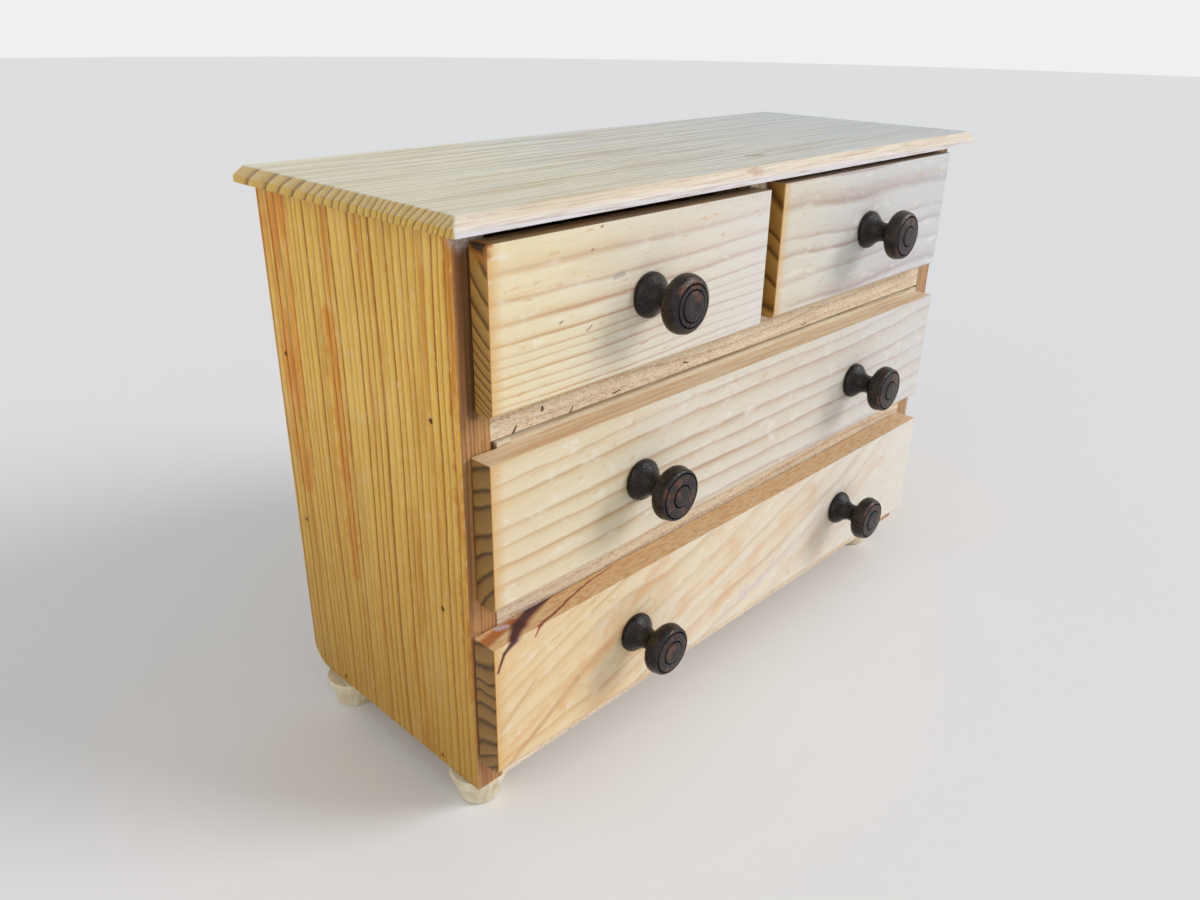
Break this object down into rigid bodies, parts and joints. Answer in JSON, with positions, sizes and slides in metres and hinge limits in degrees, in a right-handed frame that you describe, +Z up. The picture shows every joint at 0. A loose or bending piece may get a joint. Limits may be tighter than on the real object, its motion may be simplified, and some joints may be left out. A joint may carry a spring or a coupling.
{
  "type": "desktop mini drawers",
  "caption": "Small desktop chest of pine drawers for craft supplies and small parts, with short drawers over long ones, turned knobs and turned feet.",
  "frame": {"origin": "on the table, under the middle of the bounding box of the whole chest with its drawers closed", "axes": "+X to the right along the front, the longest extent; +Y to the back, so drawers open towards -Y; +Z up"},
  "size_m": [0.3334, 0.1543, 0.2372],
  "materials": {
    "side_pine": "satin oiled",
    "top_pine": "satin",
    "shelf_pine": "sawn, bare",
    "front_pine": "satin oiled",
    "box_wood": "sanded, bare",
    "thin_panel": "bare",
    "foot_wood": "turned, bare",
    "knob_wood": "turned, dark satin",
    "pin_steel": "plain steel"
  },
  "bodies": {
    "carcass": {"left_side": "side_pine", "right_side": "side_pine", "top_board": "top_pine", "floor_board": "shelf_pine", "lower_shelf": "shelf_pine", "upper_shelf": "shelf_pine", "centre_divider": "shelf_pine", "back_panel": "thin_panel", "foot_front_left": "foot_wood", "foot_back_left": "foot_wood", "foot_front_right": "foot_wood", "foot_back_right": "foot_wood", "case_pins": "pin_steel", "back_pins": "pin_steel"},
    "top_left_drawer": {"top_left_front": "front_pine", "top_left_box_front": "box_wood", "top_left_box_left": "box_wood", "top_left_box_right": "box_wood", "top_left_box_back": "box_wood", "top_left_box_bottom": "thin_panel", "top_left_box_pins": "pin_steel", "top_left_knob": "knob_wood", "top_left_knob_screws": "pin_steel"},
    "top_right_drawer": {"top_right_front": "front_pine", "top_right_box_front": "box_wood", "top_right_box_left": "box_wood", "top_right_box_right": "box_wood", "top_right_box_back": "box_wood", "top_right_box_bottom": "thin_panel", "top_right_box_pins": "pin_steel", "top_right_knob": "knob_wood", "top_right_knob_screws": "pin_steel"},
    "middle_drawer": {"middle_front": "front_pine", "middle_box_front": "box_wood", "middle_box_left": "box_wood", "middle_box_right": "box_wood", "middle_box_back": "box_wood", "middle_box_bottom": "thin_panel", "middle_box_pins": "pin_steel", "middle_knob_left": "knob_wood", "middle_knob_right": "knob_wood", "middle_knob_screws": "pin_steel"},
    "bottom_drawer": {"bottom_front": "front_pine", "bottom_box_front": "box_wood", "bottom_box_left": "box_wood", "bottom_box_right": "box_wood", "bottom_box_back": "box_wood", "bottom_box_bottom": "thin_panel", "bottom_box_pins": "pin_steel", "bottom_knob_left": "knob_wood", "bottom_knob_right": "knob_wood", "bottom_knob_screws": "pin_steel"}
  },
  "joints": [
    {"name": "top_left_drawer_slide", "type": "slide", "parent": "carcass", "child": "top_left_drawer", "axis": [0, -1, 0], "range_m": [0, 0.095]},
    {"name": "top_right_drawer_slide", "type": "slide", "parent": "carcass", "child": "top_right_drawer", "axis": [0, -1, 0], "range_m": [0, 0.095]},
    {"name": "middle_drawer_slide", "type": "slide", "parent": "carcass", "child": "middle_drawer", "axis": [0, -1, 0], "range_m": [0, 0.095]},
    {"name": "bottom_drawer_slide", "type": "slide", "parent": "carcass", "child": "bottom_drawer", "axis": [0, -1, 0], "range_m": [0, 0.095]}
  ]
}
